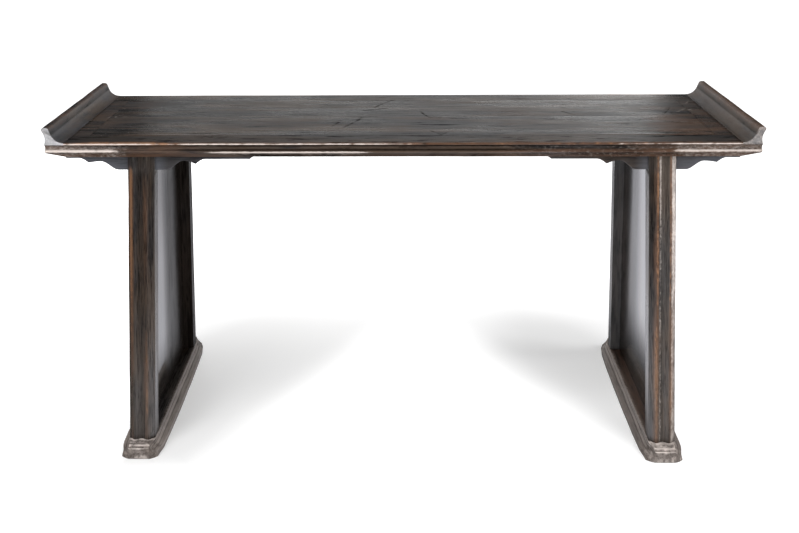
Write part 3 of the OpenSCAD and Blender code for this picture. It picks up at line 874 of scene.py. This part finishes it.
class TABLE_OT_shoes(bpy.types.Operator):
    """Shoe feet with grooved sides and stepped toes"""

    bl_idname = "table.shoes"
    bl_label = "Shoe feet"

    def execute(self, context):
        sizes = settings()[0]
        for seed, name in enumerate(("left_shoe", "right_shoe")):
            low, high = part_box(name)
            middle = (low.x + high.x) / 2
            tip_y = high.y
            step_y = tip_y - TOE_STEP
            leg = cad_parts[("front_left_leg", "front_right_leg")[seed]].data
            foot = [v.co for v in leg.vertices if abs(v.co.z - SHOE_H) < ON_PLANE]
            rubbing, dustiness = ((0.44, 0.85), (0.64, 0.95))[seed]

            def groove(p):
                """1 along a groove, and 0 beside it."""
                if abs(p.x - middle) < 0.03 or abs(p.y) > tip_y - 0.02:
                    return 0.0
                return max(peak(p.z, z, GROOVE_W) for z in GROOVES)

            def toe(p):
                return between(abs(p.y), tip_y - TOE_L, FAR, 0.004)

            def on_top(p):
                return between(p.z, SHOE_H - SKIN, FAR, 0.001)

            def narrowing(p):
                """How much the toe draws in, and its platform more than its sole."""
                rise = limited(p.z / SHOE_H)
                sole = 0.09 * between(abs(p.y), tip_y - TOE_TIP, FAR, 0.06)
                return sole + 0.18 * rise * between(abs(p.y), tip_y - TOE_TIP, FAR, 0.04)

            def from_leg(p):
                """How far a point of the top lies from the leg's foot."""
                return min((Vector((p.x, -abs(p.y), SHOE_H)) - q).length for q in foot)

            def scuffed(p):
                # Pale lines along the rim, above the grooves and round the toe's arrises, lip, step and the
                # leg's foot: rubbed wood with painted highlights
                aside = abs(p.x - middle)
                rim = 0.5 * peak(p.z, SHOE_H, 0.001) * between(aside, 0.0355, FAR, 0.0015)
                if toe(p) < 0.1:
                    lines = 0.3 * max(peak(p.z, z + 0.002, 0.0008) for z in GROOVES)
                    return max(rim, lines * between(aside, 0.034, FAR, 0.002))
                breaks = 0.8 + 0.9 * mottle(p.x * 110, p.y * 90, 4.0 + p.z * 90)
                arris = 0.9 * peak(abs(p.y), step_y, 0.0018) * on_top(p)
                lip = 0.9 * peak(p.z, SHOE_H - 0.004, 0.002) * between(abs(p.y), tip_y - 0.006, FAR, 0.002)
                foot_line = 0.9 * peak(from_leg(p), 0.002, 0.0025) if p.z > SHOE_H - SKIN else 0.0
                base = 0.5 * peak(p.z, 0.004, 0.003) * between(abs(p.y), tip_y - 0.025, FAR, 0.01)
                # Painted shade: the toe's front face gets half the rubbed paleness of its top
                face = 0.5 if p.z < SHOE_H - 0.006 else 1.0
                return toe(p) * breaks * (rubbing * face + 1.7 * max(arris, lip, foot_line, rim, base))

            def darkened(p):
                # Painted shade in the grooves, beside the toe's step and on the left shoe's top beside the
                # panel; the blots are dirt; also darker at the very bottom
                under_step = peak(abs(p.y), step_y + 0.0045, 0.002) * between(p.z, SHOE_H - 0.006, FAR, 0.001)
                before_step = peak(abs(p.y), step_y - 0.004, 0.002) * on_top(p)
                blots = between(mottle(p.x * 80, p.y * 60, p.z * 80), 0.12, FAR, 0.2) * toe(p)
                foot_side = 0.5 * peak(p.z, 0.0015, 0.003)
                beside_panel = on_top(p) * between(abs(p.y), -FAR, tip_y - 0.11, 0.04)
                dark_top = 0.6 * beside_panel if p.x < 0 else 0.0
                beside_step = 0.6 * max(under_step, before_step)
                return max(0.9 * groove(p), beside_step, 0.5 * blots, foot_side, dark_top)

            def worn(p):
                red = on_top(p) * between(abs(p.y), 0.0, tip_y - 0.1, 0.05)
                return 0.12 + (0.3 if p.x > 0 else 0.0) * red + 0.14 * toe(p)

            def hazed(p):
                sides = (1.0 if p.x < 0 else 0.8) * between(abs(p.x - middle), 0.0365, FAR, 0.002)
                return max(sides * (1 - 0.3 * toe(p)), dustiness * toe(p))

            bm = merged_copy(name)
            for z in GROOVES:
                for cut in (-0.0012, -0.0005, 0.0005, 0.0012, 0.002, 0.0028):
                    cut_along(bm, (0, 0, z + cut), (0, 0, 1))
            cut_lengths(bm, 1, sizes.pitch)
            cut_lengths(bm, 0, sizes.pitch)
            refine(bm, 4, lambda p: p.z > SHOE_H - SKIN and p.y < 0.05 - tip_y)
            for v in bm.verts:
                v.co.x += (-1 if v.co.x > middle else 1) * sizes.groove * groove(v.co)
                v.co.x = middle + (v.co.x - middle) * (1 - narrowing(v.co))
            waver(bm, sizes.waver, (0.05, 0.09, 0.05), seed + 41)
            set_grain(bm, 1, seed + 41)
            mark(bm, wear=worn, scuff=scuffed, grime=darkened, film=hazed)
            finish_piece(bm, name, "aged_shoe")
        return {"FINISHED"}


class TABLE_OT_hidden(bpy.types.Operator):
    """Dry wood of the braces and pegs under the top"""

    bl_idname = "table.hidden"
    bl_label = "Braces and pegs"

    def execute(self, context):
        braces = ("outer_left_brace", "inner_left_brace", "inner_right_brace", "outer_right_brace")
        for name in braces + ("corner_pegs",):
            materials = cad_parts[name].data.materials
            materials.clear()
            materials.append(finishes()["dry_brace"])
        return {"FINISHED"}


def lamp(name, place, target, width, height, watts):
    """A softbox at place, facing target."""
    data = bpy.data.lights.new(name, "AREA")
    data.shape = "RECTANGLE"
    data.size = width
    data.size_y = height
    data.energy = watts
    light = new_object(name, data)
    light.location = place
    light.rotation_euler = (Vector(target) - Vector(place)).to_track_quat("-Z", "Y").to_euler()
    light.visible_camera = False
    light.visible_glossy = False


def floor_paper():
    """White paper floor: it keeps the table's shadow between the feet, a painted shadow shaped by place over
    the lamps' own, and glows in gloss by place, a painted reflection.
    """
    r = Recipe("floor_paper")
    path = r.add("ShaderNodeLightPath")
    x, y, _ = r.place()
    aside = r.reckon("ABSOLUTE", x)
    on_left, on_right = r.step(x, -0.05, 0.05, 1.0, 0.0), r.step(x, -0.05, 0.05)

    # What the camera sees: white paper, with the table's shade between and behind the feet. The glow that
    # lifts the paper to white is set by place, full in the middle, in front, behind and outside the feet,
    # lower between them and on the right far side, higher on the right near side, so this shade is a painted
    # shadow over the lamps' own
    inwards = r.reckon("ABSOLUTE", r.sum(x, 0.0, 1.0, -0.03))
    drawn_in = r.sum(inwards, r.step(x, 0.0, 0.3), -0.06)
    middle = r.step(r.sum(drawn_in, r.sum(y, 0.0, 1.0, 0.1), 0.48), 0.16, 0.52, 1.0, 0.0)
    around = r.reckon("MAXIMUM", r.step(aside, 0.71, 0.83), r.step(y, 0.5, 1.1))
    before = r.reckon("MAXIMUM", around, r.step(y, -0.62, -0.34, 1.0, 0.0))
    clear = r.reckon("MAXIMUM", before, middle)
    right_far = r.product(r.step(x, 0.15, 0.45), r.step(y, 0.15, 0.45))
    right_near = r.product(r.step(x, 0.0, 0.4), r.step(y, -0.1, 0.2, 1.0, 0.0))
    shaded = r.sum(r.sum(r.step(y, -0.5, 0.7, 0.1, 0.465), right_far, -0.17), right_near, 0.15)
    share = r.add("ShaderNodeMapRange", {"Value": clear, "To Min": shaded, "To Max": 1.0}).outputs["Result"]
    lit = r.add("ShaderNodeBsdfDiffuse", {"Color": (0.8, 0.8, 0.8, 1)})
    lift = r.add("ShaderNodeEmission", {"Strength": r.product(path.outputs["Is Camera Ray"], share)})
    seen = r.add("ShaderNodeAddShader", {0: lit.outputs[0], 1: lift.outputs[0]})

    # Painted reflection: in gloss the paper glows by place, bright between the feet, dark beside the panels
    # and above the shoe feet, and brighter beyond the table's ends, most to the right
    left = r.step(aside, 0.25, 0.45, 0.85, 1.1)
    right = r.step(aside, 0.25, 0.45, 1.5, 1.55)
    across = r.sum(r.product(left, on_left), r.product(right, on_right))
    slant = r.product(r.step(x, -0.05, 0.05, -0.5, 0.0), r.sum(aside, 0.0, 1.0, -0.62))
    near_panel = r.step(r.sum(r.sum(y, aside, 5.4, -3.77), slant), -0.14, 0.14, 1.0, 0.015)
    above_shoe = r.step(r.sum(aside, on_right, 0.04), 0.58, 0.68, 1.0, 0.1)
    inner = r.product(across, r.product(near_panel, above_shoe))
    outer = r.sum(r.step(x, 1.2, 2.4, 0.0, 0.6), r.step(x, -2.4, -1.2, 0.1, 0.0))
    shine = r.add("ShaderNodeEmission", {"Color": (0.94, 0.94, 1.0, 1), "Strength": r.sum(inner, outer)})
    is_gloss = path.outputs["Is Glossy Ray"]
    paper = r.add("ShaderNodeMixShader", {0: is_gloss, 1: seen.outputs[0], 2: shine.outputs[0]})
    return r.finish(paper.outputs[0])


def backdrop_paper():
    """Glowing grey paper behind the table, seen only in gloss, brighter to the right and lower down: painted
    light that the top reflects as its sheen.
    """
    r = Recipe("backdrop_paper")
    x, _, z = r.place()
    left_edge = r.step(x, -BACKDROP_HALF - BACKDROP_SOFT, -BACKDROP_HALF)
    right_edge = r.step(x, BACKDROP_HALF, BACKDROP_HALF + BACKDROP_SOFT, 1.0, 0.0)
    level = r.sum(r.step(x, -1.3, 0.4, 0.47, 0.68), r.step(x, 0.2, 1.3, 0.0, 0.44))
    bright = r.product(r.product(level, r.step(z, 1.26, 1.58, 1.3, 0.3)), r.product(left_edge, right_edge))
    return r.finish(r.add("ShaderNodeEmission", {"Strength": r.sum(bright, 0.03)}).outputs[0])


def flat_sheet(name, size, material, upright_at=None):
    """A square sheet on the floor, or standing at a place."""
    bm = bmesh.new()
    bmesh.ops.create_grid(bm, x_segments=1, y_segments=1, size=size)
    if upright_at:
        bmesh.ops.rotate(bm, verts=bm.verts, matrix=Matrix.Rotation(math.pi / 2, 3, "X"))
        bmesh.ops.translate(bm, verts=bm.verts, vec=upright_at)
    mesh = bpy.data.meshes.new(name)
    bm.to_mesh(mesh)
    bm.free()
    mesh.materials.append(material)
    sheet = new_object(name, mesh)
    return sheet


def studio_world():
    """White to the camera, dim in gloss, and soft grey light for the rest."""
    world = bpy.data.worlds.new("studio_world")
    world.use_nodes = True
    tree = world.node_tree
    tree.nodes.clear()
    path = tree.nodes.new("ShaderNodeLightPath")
    result = None
    for test, strength in ((None, WORLD_SOFT), ("Is Glossy Ray", WORLD_GLOSS), ("Is Camera Ray", 1.0)):
        light = tree.nodes.new("ShaderNodeBackground")
        light.inputs["Color"].default_value = (1, 1, 1, 1)
        light.inputs["Strength"].default_value = strength
        if test:
            mix = tree.nodes.new("ShaderNodeMixShader")
            tree.links.new(path.outputs[test], mix.inputs[0])
            tree.links.new(result, mix.inputs[1])
            tree.links.new(light.outputs[0], mix.inputs[2])
            result = mix.outputs[0]
        else:
            result = light.outputs[0]
    tree.links.new(result, tree.nodes.new("ShaderNodeOutputWorld").inputs["Surface"])
    return world


class TABLE_OT_studio(bpy.types.Operator):
    """White paper, softboxes and the camera"""

    bl_idname = "table.studio"
    bl_label = "Studio"

    def execute(self, context):
        studio = settings()[2]
        scene = context.scene
        scene.view_settings.view_transform = "Standard"
        scene.world = studio_world()
        flat_sheet("floor", FLOOR_HALF, floor_paper())
        half = BACKDROP_HALF + BACKDROP_RIM
        backdrop = flat_sheet("backdrop", half, backdrop_paper(), (0, BACKDROP_Y, half))
        backdrop.visible_camera = False
        backdrop.visible_shadow = False
        backdrop.visible_diffuse = False

        lamp("left_softbox", (-2.0, -2.5, 1.5), (0, 0, 0.5), 1.5, 1.8, studio.left_power)
        lamp("right_softbox", (2.0, -2.5, 1.5), (0, 0, 0.5), 1.5, 1.8, studio.right_power)
        lamp("side_softbox", (2.9, -0.2, 1.1), (0.7, -0.2, 0.6), 1.0, 1.8, studio.side_power)
        lamp("top_softbox", (-0.6, -1.2, 2.6), (-0.3, 0, 0.8), 1.2, 0.9, studio.top_power)
        lamp("back_softbox", (-0.9, 3.0, 1.1), (0, 0, 0.45), 2.0, 1.6, studio.back_power)

        data = bpy.data.cameras.new("camera")
        data.lens = studio.lens
        data.sensor_width = SENSOR_W
        data.shift_x = studio.shift_x
        data.shift_y = studio.shift_y
        camera = new_object("camera", data)
        camera.location = studio.camera_place
        pitch, yaw, roll = studio.pitch, studio.yaw, studio.roll
        ahead = Vector((math.cos(pitch) * math.sin(yaw), math.cos(pitch) * math.cos(yaw), -math.sin(pitch)))
        right = Vector((math.cos(yaw), -math.sin(yaw), 0))
        up = right.cross(ahead)
        turned_right = right * math.cos(roll) + up * math.sin(roll)
        turned_up = up * math.cos(roll) - right * math.sin(roll)
        camera.rotation_euler = Matrix((turned_right, turned_up, -ahead)).transposed().to_euler()
        scene.camera = camera
        return {"FINISHED"}


class TABLE_PT_panel(bpy.types.Panel):
    """Lists the steps that dress the table"""

    bl_label = "Painting table"
    bl_space_type = "VIEW_3D"
    bl_region_type = "UI"
    bl_category = "Table"

    def draw(self, context):
        for step in STEPS:
            self.layout.operator(step.bl_idname, text=step.bl_label)
        for group in (context.scene.table_sizes, context.scene.table_colours, context.scene.table_studio):
            for key in group.bl_rna.properties.keys():
                if key not in ("rna_type", "name"):
                    self.layout.prop(group, key)


STEPS = (
    TABLE_OT_rails, TABLE_OT_panel, TABLE_OT_flanges, TABLE_OT_aprons, TABLE_OT_legs, TABLE_OT_sides,
    TABLE_OT_shoes, TABLE_OT_hidden, TABLE_OT_studio,
)
CLASSES = (TableColours, TableSizes, StudioSettings) + STEPS + (TABLE_PT_panel,)


def register():
    for cls in CLASSES:
        bpy.utils.register_class(cls)
    bpy.types.Scene.table_colours = PointerProperty(type=TableColours)
    bpy.types.Scene.table_sizes = PointerProperty(type=TableSizes)
    bpy.types.Scene.table_studio = PointerProperty(type=StudioSettings)


def unregister():
    del bpy.types.Scene.table_studio
    del bpy.types.Scene.table_sizes
    del bpy.types.Scene.table_colours
    for cls in reversed(CLASSES):
        bpy.utils.unregister_class(cls)


def main():
    register()
    bpy.ops.table.studio()
    bpy.ops.table.rails()
    bpy.ops.table.panel()
    bpy.ops.table.flanges()
    bpy.ops.table.aprons()
    bpy.ops.table.legs()
    bpy.ops.table.sides()
    bpy.ops.table.shoes()
    bpy.ops.table.hidden()


if __name__ == "__main__":
    main()
